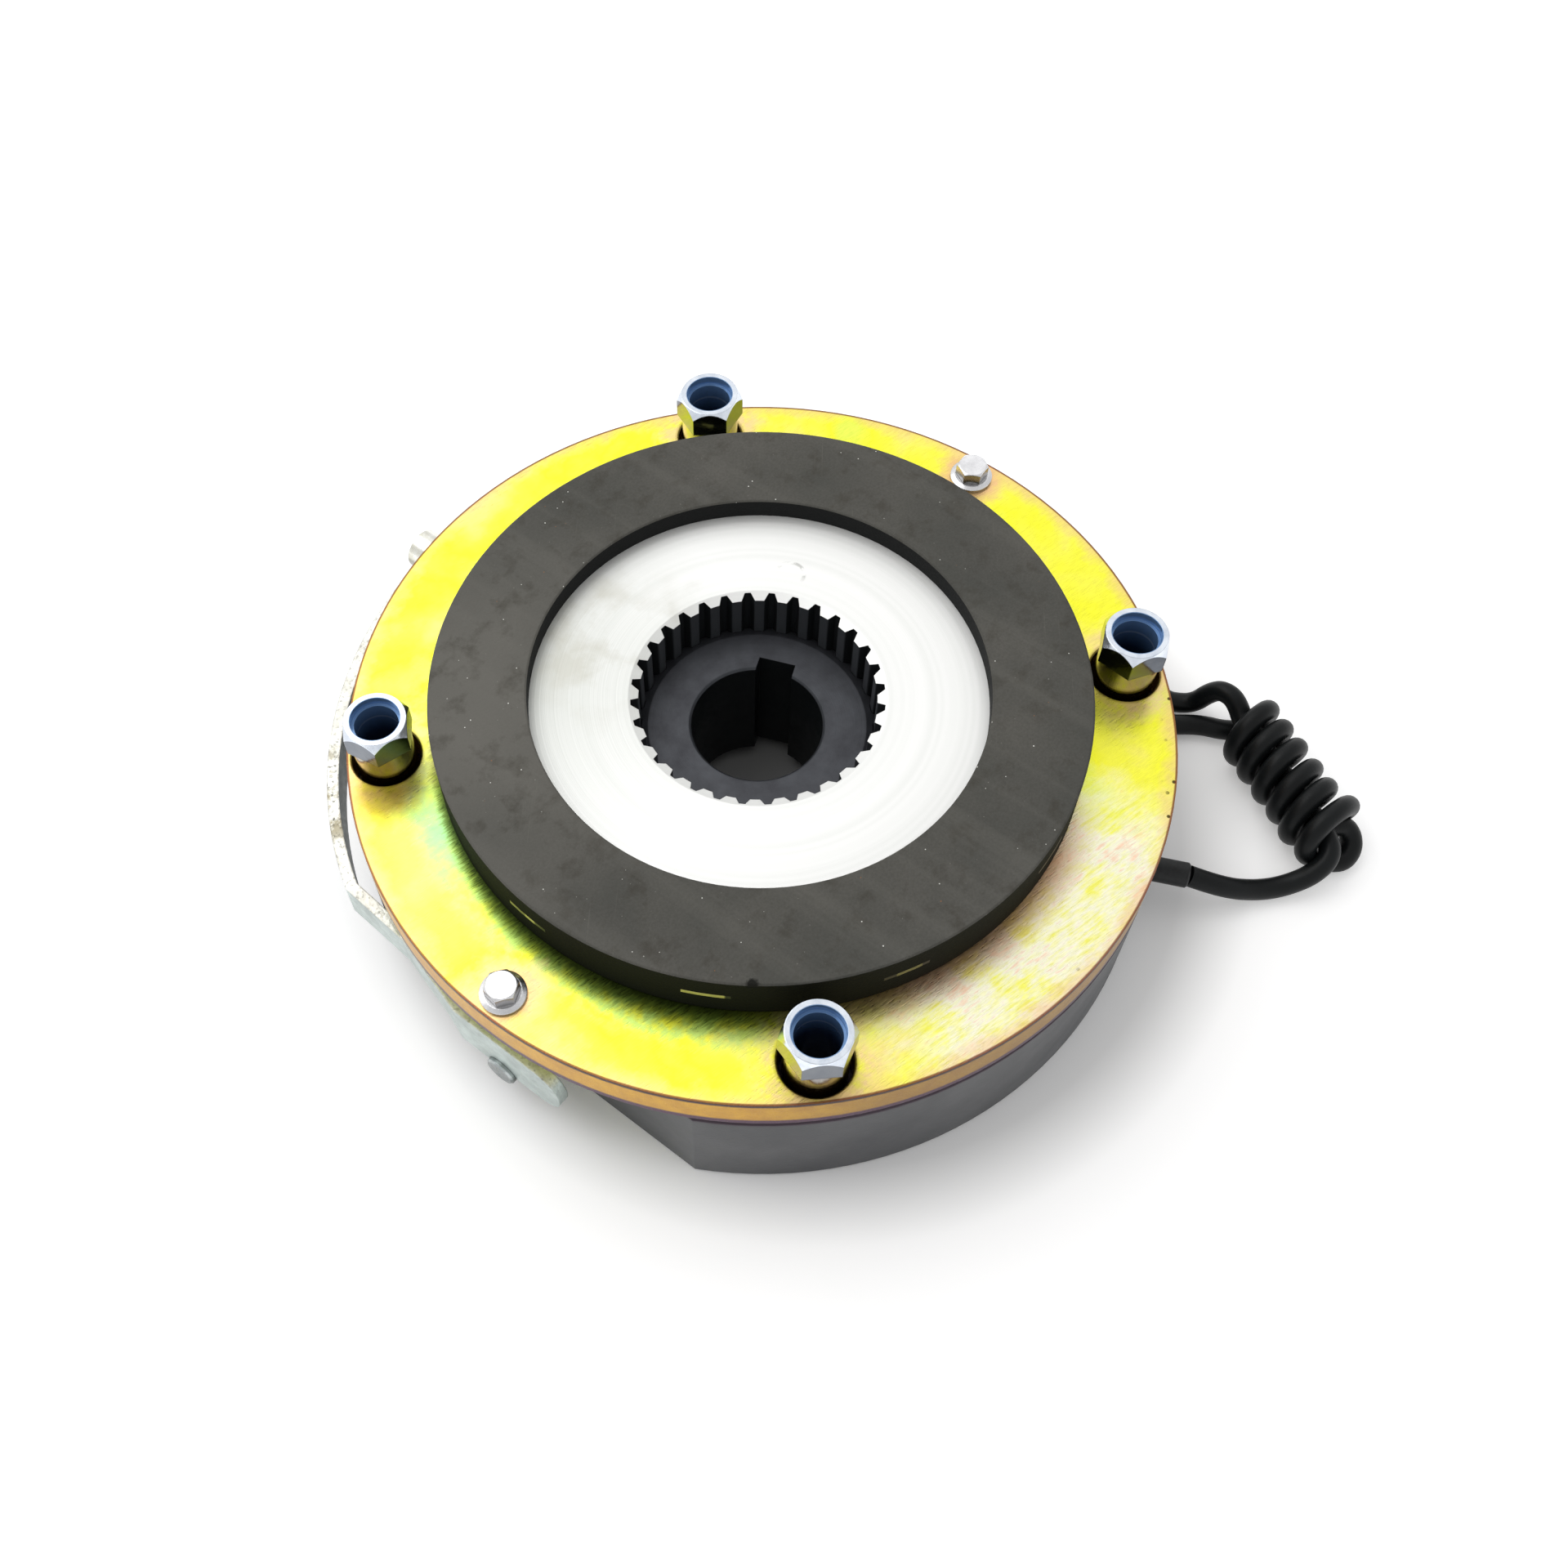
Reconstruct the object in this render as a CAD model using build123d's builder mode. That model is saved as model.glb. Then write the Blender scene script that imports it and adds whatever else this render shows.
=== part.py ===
from build123d import *
import math
import os

# Spring applied brake lying on its back: stator below, armature plate, splined rotor and hub above.
# Millimetres. The origin is the centre of the stator's back face, +Z points out of the rotor,
# +X runs through the release screws and +Y points to the bow of the release bail.

# Stator
stator_r = 108.5
stator_height = 37.5
stator_bore_r = 36.0
stator_edge_chamfer = 1.2
coil_groove_inner_r = 53.0
outer_pole_wall = 12.0
coil_groove_floor_z = 10.0

# Coil in its groove
groove_clearance = 0.15
bobbin_wall = 1.5
bobbin_height = 22.0
winding_clearance = 0.1

# Compression springs in the inner pole
spring_count = 6
spring_circle_r = 44.5
spring_pocket_r = 4.8
spring_pocket_floor_z = 14.0
spring_r = 3.6
spring_wire_r = 0.8
spring_wire_sides = 6
spring_turns = 3
spring_seat_gap = 0.05

# Armature plate
air_gap = 1.0
plate_thickness = 11.5
plate_bore_r = 42.0
plate_edge_chamfer = 0.8
plate_hole_r = 9.2
plate_hole_chamfer = 0.4

# Rotor with its lining
rotor_seat_gap = 0.05
lining_thickness = 15.2
lining_sleeve_gap = 5.0
lining_width = 25.5
lining_edge_chamfer = 0.4
web_thickness = 3.0
web_overlap = 1.5
rim_plate_thickness = 1.4
lug_length = 5.0
web_fit = 0.02
lug_count = 11
lug_width = 12.0
lug_first_angle = 176.0
boss_r = 36.8
boss_fillet = 2.5
boss_drop = 8.6
tooth_land_recess_r = 33.6
tooth_land_depth = 1.2

# Toothing of the rotor and the hub
tooth_module = 2.0
tooth_count = 32
tooth_flank_angle = 26.0
tooth_gap_share = 0.41
tooth_phase = 7.75
spline_clearance = 0.07

# Hub
hub_length = 40.0
hub_face_drop = 4.7
hub_bore_r = 17.5
hub_chamfer = 0.6
hub_end_slope = 30.0
hub_end_flat_r = 29.0
key_width = 10.0
key_depth = 3.3
key_angle = 21.3

# Hollow mounting sleeves
sleeve_edge_distance = 10.5
sleeve_count = 4
sleeve_first_angle = 45.0
sleeve_hex = 16.3
sleeve_hex_height = 8.2
sleeve_hex_turns = (23.0, 26.0, 28.0, 11.0)
sleeve_ring_r = 7.95
sleeve_chamfer_angle = 30.0
sleeve_shank_r = 8.0
sleeve_bore_r = 5.75
sleeve_step_r = 6.45
sleeve_step_depth = 2.6
sleeve_stand_off = 17.5
sleeve_seat_z = 16.0
thread_clearance = 0.1
mounting_hole_r = 5.5

# Release screws, cross pins and bail
release_edge_distance = 7.0
release_flat_distance = 6.5
release_shank_r = 2.45
release_hole_r = 2.8
release_flange_r = 5.9
release_flange_height = 1.4
release_flange_slope_height = 0.5
release_flange_slope_width = 1.2
release_hex = 7.8
release_hex_height = 3.8
release_hex_turns = (2.0, 22.0)
release_top_r = 3.7
release_chamfer_angle = 60.0
release_screw_end_z = 9.2
pin_r = 4.5
pin_z = 14.0
pin_flat_clearance = 1.5
pin_stand_out = 1.4
pin_edge_chamfer = 0.5
pin_bearing_clearance = 0.08
bail_thickness = 3.2
bail_bottom_z = 19.0
bail_top_z = 31.0
bail_clearance = 1.5
bail_bow_centre_y = 6.0
bail_flat_clearance = 1.3
bail_arm_clearance = 3.0
bail_arm_y = 38.0
ear_screw_clearance = 0.65
ear_start_y = 14.0
ear_end_y = -20.0
ear_start_slope = 5.0
ear_end_r = 7.5
lever_boss_r = 6.0
lever_boss_length = 6.5
lever_hole_r = 3.4
weld_gap = 0.03

# Cable
cable_r = 2.85
cable_exit_angle = -65.7
cable_exit_z = 11.0
shrink_sleeve_r = 3.5
shrink_sleeve_clearance = 0.2
cable_hole_overlap = 1.5
shrink_sleeve_depth = 16.5
shrink_sleeve_stand_out = 11.9
shrink_sleeve_end_taper = 0.5
coil_turn_pitch = 7.1
coil_turns = 6
coil_end_loop = 2.0
coil_outer_r = 10.4
coil_edge_chamfer = 1.4
coil_axis_z = 10.5
coil_direction = (-0.469, -0.883)

# Cable route as offsets from the end of its sleeve, in the table's axes
coil_start_offset = (51.9, 9.6)
cable_offsets = [
    (0, 0, 0),
    (5.1, -9.2, -2.2),
    (11.0, -16.6, -7.2),
    (17.3, -21.3, -7.8),
    (24.3, -25.1, -5.2),
    (30.9, -24.5, -1.6),
    (34.5, -19.9, -0.4),
]
loop_offsets = [
    (51.3, 8.5, 1.5),
    (54.5, 15.1, 1.7),
    (56.3, 21.5, 0.2),
    (54.7, 28.2, -5.0),
    (51.7, 35.1, -8.05),
    (56.1, 44.5, -8.05),
    (69.5, 59.7, -8.05),
    (85.0, 82.7, -8.05),
    (90.0, 106.7, -8.05),
    (76.5, 123.7, -8.05),
    (61.0, 116.2, -8.05),
    (57.7, 93.7, -8.05),
    (58.3, 69.7, -8.05),
    (51.2, 47.0, -8.05),
    (43.1, 32.2, -8.05),
    (47.8, 22.2, -7.6),
    (51.1, 13.7, -6.0),
    (51.5, 8.2, -5.6),
]

# Radii and reaches that follow from the sizes above
sleeve_circle_r = stator_r - sleeve_edge_distance
release_circle_r = stator_r - release_edge_distance
stator_flat_x = release_circle_r - release_flat_distance
coil_groove_outer_r = sleeve_circle_r - sleeve_shank_r - outer_pole_wall
lining_outer_r = sleeve_circle_r - sleeve_shank_r - lining_sleeve_gap
lining_inner_r = lining_outer_r - lining_width
rim_plate_r = lining_outer_r - lug_length
ear_outer_x = release_circle_r + release_shank_r + ear_screw_clearance + bail_thickness
pin_inner_x = stator_flat_x + pin_flat_clearance
pin_outer_x = ear_outer_x + pin_stand_out
bail_bow_r = stator_r + bail_clearance + bail_thickness
bail_kink_x = stator_flat_x + bail_flat_clearance + bail_thickness
bail_arm_x = stator_flat_x + bail_arm_clearance + bail_thickness
shrink_sleeve_inner_reach = stator_r - shrink_sleeve_depth
shrink_sleeve_outer_reach = stator_r + shrink_sleeve_stand_out

# Heights that follow from the sizes above
plate_bottom_z = stator_height + air_gap
plate_top_z = plate_bottom_z + plate_thickness
lining_bottom_z = plate_top_z + rotor_seat_gap
lining_top_z = lining_bottom_z + lining_thickness
lining_middle_z = (lining_bottom_z + lining_top_z) / 2
web_top_z = lining_middle_z + web_thickness / 2
web_bottom_z = lining_middle_z - web_thickness / 2
boss_bottom_z = plate_top_z - boss_drop
hub_top_z = plate_top_z - hub_face_drop
hub_bottom_z = hub_top_z - hub_length
sleeve_top_z = plate_top_z + sleeve_stand_off
tooth_pitch_r = tooth_module * tooth_count / 2
exit_axis = Axis((0, 0, cable_exit_z), Vector(1, 0, 0).rotate(Axis.Z, cable_exit_angle))
exit_plane = Plane(origin=exit_axis.position, z_dir=exit_axis.direction)
cable_start = exit_axis.position + exit_axis.direction * shrink_sleeve_outer_reach

os.makedirs("parts", exist_ok=True)


def save(piece, name):
    piece.part.label = name
    export_step(piece.part, f"parts/{name}.step")


def tooth_profile(inner_r, outer_r, half_width_at_pitch):
    # A straight-sided tooth or gap about the X axis, narrower outwards.
    slope = math.tan(math.radians(tooth_flank_angle))
    inner_half = half_width_at_pitch + (tooth_pitch_r - inner_r) * slope
    outer_half = half_width_at_pitch + (tooth_pitch_r - outer_r) * slope
    with BuildSketch() as profile:
        with BuildLine():
            Polyline(
                (inner_r, -inner_half),
                (outer_r, -outer_half),
                (outer_r, outer_half),
                (inner_r, inner_half),
                close=True,
            )
        make_face()
    return profile.sketch


# Stator housing
with BuildPart() as stator_housing:
    with BuildSketch():
        Circle(stator_r)
        Rectangle(2 * stator_flat_x, 2 * stator_r, mode=Mode.INTERSECT)
        Circle(stator_bore_r, mode=Mode.SUBTRACT)
    extrude(amount=stator_height)
    chamfer(
        stator_housing.faces().sort_by(Axis.Z)[0].outer_wire().edges(), stator_edge_chamfer
    )
    chamfer(
        stator_housing.faces().sort_by(Axis.Z)[-1].outer_wire().edges(), stator_edge_chamfer / 2
    )
    with BuildSketch(Plane.XY.offset(coil_groove_floor_z)):
        Circle(coil_groove_outer_r)
        Circle(coil_groove_inner_r, mode=Mode.SUBTRACT)
    extrude(amount=stator_height - coil_groove_floor_z, mode=Mode.SUBTRACT)
    with BuildSketch(Plane.XY.offset(spring_pocket_floor_z)):
        with PolarLocations(spring_circle_r, spring_count):
            Circle(spring_pocket_r)
    extrude(amount=stator_height - spring_pocket_floor_z, mode=Mode.SUBTRACT)
    with BuildSketch(Plane.XY.offset(sleeve_seat_z)):
        with PolarLocations(sleeve_circle_r, sleeve_count, start_angle=sleeve_first_angle):
            Circle(sleeve_shank_r + thread_clearance)
    extrude(amount=stator_height - sleeve_seat_z, mode=Mode.SUBTRACT)
    with BuildSketch():
        with PolarLocations(sleeve_circle_r, sleeve_count, start_angle=sleeve_first_angle):
            Circle(mounting_hole_r)
    extrude(amount=sleeve_seat_z, mode=Mode.SUBTRACT)
    with BuildSketch(exit_plane.offset(coil_groove_outer_r - cable_hole_overlap)):
        Circle(shrink_sleeve_r + shrink_sleeve_clearance)
    extrude(amount=stator_r - coil_groove_outer_r + 2 * cable_hole_overlap, mode=Mode.SUBTRACT)
save(stator_housing, "stator_housing")

# Coil bobbin, an open channel that fills the foot of the groove
bobbin_inner_r = coil_groove_inner_r + groove_clearance
bobbin_outer_r = coil_groove_outer_r - groove_clearance
bobbin_floor_z = coil_groove_floor_z + bobbin_wall
with BuildPart() as coil_bobbin:
    with BuildSketch(Plane.XY.offset(coil_groove_floor_z)):
        Circle(bobbin_outer_r)
        Circle(bobbin_inner_r, mode=Mode.SUBTRACT)
    extrude(amount=bobbin_height)
    with BuildSketch(Plane.XY.offset(bobbin_floor_z)):
        Circle(bobbin_outer_r - bobbin_wall)
        Circle(bobbin_inner_r + bobbin_wall, mode=Mode.SUBTRACT)
    extrude(amount=bobbin_height, mode=Mode.SUBTRACT)
save(coil_bobbin, "coil_bobbin")

# Copper winding inside the bobbin
with BuildPart() as coil_winding:
    with BuildSketch(Plane.XY.offset(bobbin_floor_z)):
        Circle(bobbin_outer_r - bobbin_wall - winding_clearance)
        Circle(bobbin_inner_r + bobbin_wall + winding_clearance, mode=Mode.SUBTRACT)
    extrude(amount=bobbin_height - 2 * bobbin_wall)
save(coil_winding, "coil_winding")

# Cast resin that closes the groove over the bobbin
resin_bottom_z = coil_groove_floor_z + bobbin_height
with BuildPart() as potting_ring:
    with BuildSketch(Plane.XY.offset(resin_bottom_z)):
        Circle(bobbin_outer_r)
        Circle(bobbin_inner_r, mode=Mode.SUBTRACT)
    extrude(amount=stator_height - resin_bottom_z - groove_clearance)
save(potting_ring, "potting_ring")

# Compression springs, from the pocket floors to the underside of the armature plate
spring_wire_height = (
    plate_bottom_z - spring_pocket_floor_z - 2 * spring_wire_r - 2 * spring_seat_gap
)
for index in range(spring_count):
    spring_angle = math.radians(index * 360 / spring_count)
    with BuildPart() as compression_spring:
        with BuildLine() as spring_path:
            Helix(
                pitch=spring_wire_height / spring_turns,
                height=spring_wire_height,
                radius=spring_r,
                center=(
                    spring_circle_r * math.cos(spring_angle),
                    spring_circle_r * math.sin(spring_angle),
                    spring_pocket_floor_z + spring_wire_r + spring_seat_gap,
                ),
            )
        with BuildSketch(Plane(origin=spring_path.line @ 0, z_dir=spring_path.line % 0)):
            RegularPolygon(spring_wire_r, spring_wire_sides)
        sweep()
    save(compression_spring, f"compression_spring_{index + 1}")

# Armature plate
with BuildPart() as armature_plate:
    with BuildSketch(Plane.XY.offset(plate_bottom_z)):
        Circle(stator_r)
        Circle(plate_bore_r, mode=Mode.SUBTRACT)
        with PolarLocations(sleeve_circle_r, sleeve_count, start_angle=sleeve_first_angle):
            Circle(plate_hole_r, mode=Mode.SUBTRACT)
        with PolarLocations(release_circle_r, 2):
            Circle(release_hole_r, mode=Mode.SUBTRACT)
    extrude(amount=plate_thickness)
    chamfer(
        armature_plate.edges()
        .filter_by(GeomType.CIRCLE)
        .filter_by(lambda edge: abs(edge.radius - plate_bore_r) < 1),
        plate_edge_chamfer,
    )
    chamfer(
        armature_plate.edges()
        .filter_by(GeomType.CIRCLE)
        .filter_by(lambda edge: abs(edge.radius - plate_hole_r) < 0.1)
        .group_by(Axis.Z)[-1],
        plate_hole_chamfer,
    )
save(armature_plate, "armature_plate")

# Aluminium rotor carrier with its lugs, splined boss and sloped tooth lands
gap_half_width = tooth_gap_share * math.pi * tooth_module / 2
with BuildPart() as rotor_carrier:
    with BuildSketch(Plane.XY.offset(web_bottom_z)):
        Circle(lining_inner_r + web_overlap)
    extrude(amount=web_thickness)
    with BuildSketch(Plane.XY.offset(lining_middle_z - rim_plate_thickness / 2)):
        Circle(rim_plate_r)
        with PolarLocations(rim_plate_r, lug_count, start_angle=lug_first_angle):
            Rectangle(2 * (lining_outer_r - rim_plate_r), lug_width)
        Circle(lining_outer_r, mode=Mode.INTERSECT)
    extrude(amount=rim_plate_thickness)
    with BuildSketch(Plane.XY.offset(boss_bottom_z)):
        Circle(boss_r)
    extrude(amount=web_bottom_z - boss_bottom_z)
    boss_corner = rotor_carrier.edges().filter_by(
        lambda edge: edge.geom_type == GeomType.CIRCLE
        and abs(edge.radius - boss_r) < 0.01
        and abs(edge.center().Z - web_bottom_z) < 0.01
    )
    fillet(boss_corner, boss_fillet)
    with BuildSketch(Plane.XY.offset(boss_bottom_z)):
        Circle(tooth_pitch_r - tooth_module / 2)
        with PolarLocations(0, tooth_count, start_angle=tooth_phase):
            add(
                tooth_profile(
                    tooth_pitch_r - tooth_module,
                    tooth_pitch_r + tooth_module / 2,
                    gap_half_width,
                )
            )
    extrude(amount=web_top_z - boss_bottom_z, mode=Mode.SUBTRACT)
    with BuildSketch(Plane.XZ):
        with BuildLine():
            Polyline(
                (0, web_top_z),
                (tooth_land_recess_r, web_top_z),
                (tooth_pitch_r - tooth_module / 2, web_top_z - tooth_land_depth),
                (0, web_top_z - tooth_land_depth),
                close=True,
            )
        make_face()
    revolve(axis=Axis.Z, mode=Mode.SUBTRACT)
save(rotor_carrier, "rotor_carrier")

# Friction lining moulded round the rim of the carrier
with BuildPart() as friction_lining:
    with BuildSketch(Plane.XY.offset(lining_bottom_z)):
        Circle(lining_outer_r)
        Circle(lining_inner_r, mode=Mode.SUBTRACT)
    extrude(amount=lining_thickness)
    chamfer(
        friction_lining.edges().filter_by(GeomType.CIRCLE), lining_edge_chamfer
    )
    with BuildSketch(Plane.XY.offset(web_bottom_z - web_fit)):
        Circle(lining_inner_r + web_overlap + web_fit)
    extrude(amount=web_thickness + 2 * web_fit, mode=Mode.SUBTRACT)
    with BuildSketch(Plane.XY.offset(lining_middle_z - rim_plate_thickness / 2 - web_fit)):
        Circle(rim_plate_r + web_fit)
        with PolarLocations(rim_plate_r, lug_count, start_angle=lug_first_angle):
            Rectangle(4 * (lining_outer_r - rim_plate_r), lug_width + 2 * web_fit)
    extrude(amount=rim_plate_thickness + 2 * web_fit, mode=Mode.SUBTRACT)
save(friction_lining, "friction_lining")

# Splined hub with its bore and keyway
hub_tip_r = tooth_pitch_r + tooth_module / 2 - spline_clearance
hub_root_r = tooth_pitch_r - tooth_module / 2 - 4 * spline_clearance
hub_blank_r = hub_tip_r + hub_chamfer
hub_end_drop = (hub_blank_r - hub_end_flat_r) * math.tan(math.radians(hub_end_slope))
with BuildPart() as hub:
    with BuildSketch(Plane.XY.offset(hub_bottom_z)):
        Circle(hub_root_r)
        with PolarLocations(0, tooth_count, start_angle=tooth_phase):
            add(
                tooth_profile(
                    hub_root_r - tooth_module / 2,
                    hub_tip_r,
                    gap_half_width - spline_clearance / math.cos(math.radians(tooth_flank_angle)),
                )
            )
    extrude(amount=hub_length)
    with BuildSketch(Plane.XZ):
        with BuildLine():
            Polyline(
                (0, hub_bottom_z),
                (hub_end_flat_r, hub_bottom_z),
                (hub_blank_r, hub_bottom_z + hub_end_drop),
                (hub_blank_r, hub_top_z - hub_end_drop),
                (hub_end_flat_r, hub_top_z),
                (0, hub_top_z),
                close=True,
            )
        make_face()
    revolve(axis=Axis.Z, mode=Mode.INTERSECT)
    with BuildSketch(Plane.XY.offset(hub_bottom_z)):
        Circle(hub_bore_r)
    extrude(amount=hub_length, mode=Mode.SUBTRACT)
    chamfer(
        hub.edges()
        .filter_by(GeomType.CIRCLE)
        .filter_by(lambda edge: abs(edge.radius - hub_bore_r) < 0.01),
        hub_chamfer,
    )
    with BuildSketch(Plane.XY.offset(hub_bottom_z)):
        with PolarLocations((hub_bore_r + key_depth) / 2, 1, start_angle=key_angle):
            Rectangle(hub_bore_r + key_depth, key_width)
    extrude(amount=hub_length, mode=Mode.SUBTRACT)
save(hub, "hub")


def hexagon_head(across_flats, height, top_r, chamfer_angle):
    # A hexagon whose corners are cut off by a cone that meets its top in a circle.
    with BuildPart() as head:
        with BuildSketch():
            RegularPolygon(across_flats / 2, 6, major_radius=False)
        extrude(amount=height)
        with BuildSketch(Plane.XY.offset(height)):
            Circle(top_r)
        extrude(amount=-height, taper=-chamfer_angle, mode=Mode.INTERSECT)
    return head.part


# Hollow mounting sleeves, hexagonal at the top and threaded into the stator
sleeve_head = hexagon_head(sleeve_hex, sleeve_hex_height, sleeve_ring_r, sleeve_chamfer_angle)
with BuildPart() as mounting_sleeves:
    with BuildSketch(Plane.XY.offset(sleeve_seat_z)):
        with PolarLocations(sleeve_circle_r, sleeve_count, start_angle=sleeve_first_angle):
            Circle(sleeve_shank_r)
    extrude(amount=sleeve_top_z - sleeve_hex_height - sleeve_seat_z)
    sleeve_places = PolarLocations(
        sleeve_circle_r, sleeve_count, start_angle=sleeve_first_angle
    ).locations
    for place, turn in zip(sleeve_places, sleeve_hex_turns):
        with Locations(Pos(Z=sleeve_top_z - sleeve_hex_height) * place * Rot(Z=turn)):
            add(sleeve_head)
    with BuildSketch(Plane.XY.offset(sleeve_seat_z)):
        with PolarLocations(sleeve_circle_r, sleeve_count, start_angle=sleeve_first_angle):
            Circle(sleeve_bore_r)
    extrude(amount=sleeve_top_z - sleeve_seat_z, mode=Mode.SUBTRACT)
    with BuildSketch(Plane.XY.offset(sleeve_top_z - sleeve_step_depth)):
        with PolarLocations(sleeve_circle_r, sleeve_count, start_angle=sleeve_first_angle):
            Circle(sleeve_step_r)
    extrude(amount=sleeve_step_depth, mode=Mode.SUBTRACT)
save(mounting_sleeves, "mounting_sleeves")

# Release screws with flanged hexagon heads, resting on the armature plate
release_head = hexagon_head(
    release_hex,
    release_flange_height + release_hex_height,
    release_top_r,
    release_chamfer_angle,
)
with BuildPart() as release_screws:
    with BuildSketch(Plane.XY.offset(plate_top_z)):
        with PolarLocations(release_circle_r, 2):
            Circle(release_flange_r)
    extrude(amount=release_flange_height)
    chamfer(
        release_screws.faces().filter_by(Axis.Z).group_by(Axis.Z)[-1].edges(),
        length=release_flange_slope_height,
        length2=release_flange_slope_width,
    )
    release_places = PolarLocations(release_circle_r, 2).locations
    for place, turn in zip(release_places, release_hex_turns):
        with Locations(Pos(Z=plate_top_z) * place * Rot(Z=turn)):
            add(release_head)
    with BuildSketch(Plane.XY.offset(release_screw_end_z)):
        with PolarLocations(release_circle_r, 2):
            Circle(release_shank_r)
    extrude(amount=plate_top_z - release_screw_end_z)
save(release_screws, "release_screws")

# Cross pins that the release screws are threaded into
with BuildPart() as release_pins:
    with BuildSketch(Plane.YZ.offset(pin_inner_x)):
        with Locations((0, pin_z)):
            Circle(pin_r)
    extrude(amount=pin_outer_x - pin_inner_x)
    mirror(about=Plane.YZ)
    chamfer(release_pins.edges().filter_by(GeomType.CIRCLE), pin_edge_chamfer)
    with BuildSketch(Plane.XY.offset(pin_z - 2 * pin_r)):
        with PolarLocations(release_circle_r, 2):
            Circle(release_shank_r + thread_clearance)
    extrude(amount=4 * pin_r, mode=Mode.SUBTRACT)
save(release_pins, "release_pins")

# Release bail: a bent strip with a notched ear at each end that hooks over a cross pin
bail_kink_y = bail_bow_centre_y + math.sqrt(bail_bow_r**2 - bail_kink_x**2)
bail_bow_top_y = bail_bow_centre_y + bail_bow_r
with BuildPart() as release_bail:
    with BuildSketch():
        with BuildLine():
            Polyline(
                (-ear_outer_x, ear_end_y),
                (-ear_outer_x, ear_start_y),
                (-bail_arm_x, bail_arm_y),
                (-bail_kink_x, bail_kink_y),
            )
            ThreePointArc(
                (-bail_kink_x, bail_kink_y), (0, bail_bow_top_y), (bail_kink_x, bail_kink_y)
            )
            Polyline(
                (bail_kink_x, bail_kink_y),
                (bail_arm_x, bail_arm_y),
                (ear_outer_x, ear_start_y),
                (ear_outer_x, ear_end_y),
            )
            offset(amount=bail_thickness, side=Side.RIGHT, closed=True)
        make_face()
    extrude(amount=bail_top_z)
    with BuildSketch(Plane.YZ.offset(-2 * ear_outer_x)) as ear_side:
        with BuildLine():
            Polyline(
                (ear_end_y, pin_z),
                (ear_start_y, pin_z),
                (ear_start_y + ear_start_slope, bail_bottom_z),
                (2 * bail_bow_r, bail_bottom_z),
                (2 * bail_bow_r, bail_top_z),
                (ear_end_y, bail_top_z),
                close=True,
            )
        make_face()
        fillet(ear_side.vertices().group_by(Axis.X)[0], ear_end_r)
    extrude(amount=4 * ear_outer_x, mode=Mode.INTERSECT)
    with BuildSketch(Plane.YZ.offset(-2 * ear_outer_x)):
        with Locations((0, pin_z)):
            Circle(pin_r + pin_bearing_clearance)
    extrude(amount=4 * ear_outer_x, mode=Mode.SUBTRACT)
save(release_bail, "release_bail")

# Threaded boss for the hand lever, welded to the middle of the bow
boss_z = (bail_bottom_z + bail_top_z) / 2
with BuildPart() as lever_boss:
    with BuildSketch(Plane.XZ.offset(-(bail_bow_top_y + weld_gap))):
        with Locations((0, boss_z)):
            Circle(lever_boss_r)
    extrude(amount=-lever_boss_length)
    with BuildSketch(Plane.XZ.offset(-(bail_bow_top_y + weld_gap))):
        with Locations((0, boss_z)):
            Circle(lever_hole_r)
    extrude(amount=-lever_boss_length, mode=Mode.SUBTRACT)
save(lever_boss, "lever_boss")

# Shrunk sleeve over the cable where it leaves the stator
with BuildPart() as cable_sleeve:
    with BuildSketch(exit_plane.offset(shrink_sleeve_inner_reach)):
        Circle(shrink_sleeve_r)
    extrude(amount=shrink_sleeve_outer_reach - shrink_sleeve_inner_reach)
    chamfer(cable_sleeve.faces().sort_by(exit_axis)[-1].edges(), shrink_sleeve_end_taper)
save(cable_sleeve, "cable_sleeve")


def bend_radii(points):
    # One radius for each bend, from the shorter of its two runs and the angle it turns through.
    radii = []
    for before, corner, after in zip(points, points[1:], points[2:]):
        run_in = Vector(*corner) - Vector(*before)
        run_out = Vector(*after) - Vector(*corner)
        half_turn = math.radians(run_in.get_angle(run_out)) / 2
        radii.append(0.45 * min(run_in.length, run_out.length) / math.tan(half_turn))
    return radii


def cord_tube(offsets, name):
    points = [tuple(cable_start + Vector(*offset)) for offset in offsets]
    radii = bend_radii(points)
    print(name, "bend radii", [round(radius, 1) for radius in radii])
    with BuildPart() as tube:
        with BuildLine() as route:
            FilletPolyline(*points, radius=radii)
        with BuildSketch(Plane(origin=route.line @ 0, z_dir=route.line % 0)):
            Circle(cable_r)
        sweep()
    swept_volume = math.pi * cable_r**2 * route.wire().length
    print(name, "volume over section times length", round(tube.part.volume / swept_volume, 4))
    save(tube, name)


# Cable from its sleeve along the table and up into the lower end of its own coil
cord_tube(cable_offsets, "cable")

# Coil that the spare cable is wound into, as one closed cylinder
coil_axis_unit = Vector(*coil_direction, 0).normalized()
coil_length = coil_turns * coil_turn_pitch + coil_end_loop
coil_centre = Vector(cable_start.X, cable_start.Y, coil_axis_z) + Vector(*coil_start_offset)
coil_end = coil_centre - coil_axis_unit * (coil_turn_pitch / 2)
with BuildPart() as cable_coil:
    with BuildSketch(Plane(origin=coil_end, z_dir=coil_axis_unit)):
        Circle(coil_outer_r)
    extrude(amount=coil_length)
    chamfer(cable_coil.edges().filter_by(GeomType.CIRCLE), coil_edge_chamfer)
save(cable_coil, "cable_coil")

# Loop of cable that runs behind the brake and back into the coil
cord_tube(loop_offsets, "cable_loop")
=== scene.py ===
"""Looks of the spring applied brake: its finishes and cable, the floor, light and camera."""
import math

import bpy
from mathutils import Matrix, Vector


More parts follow.
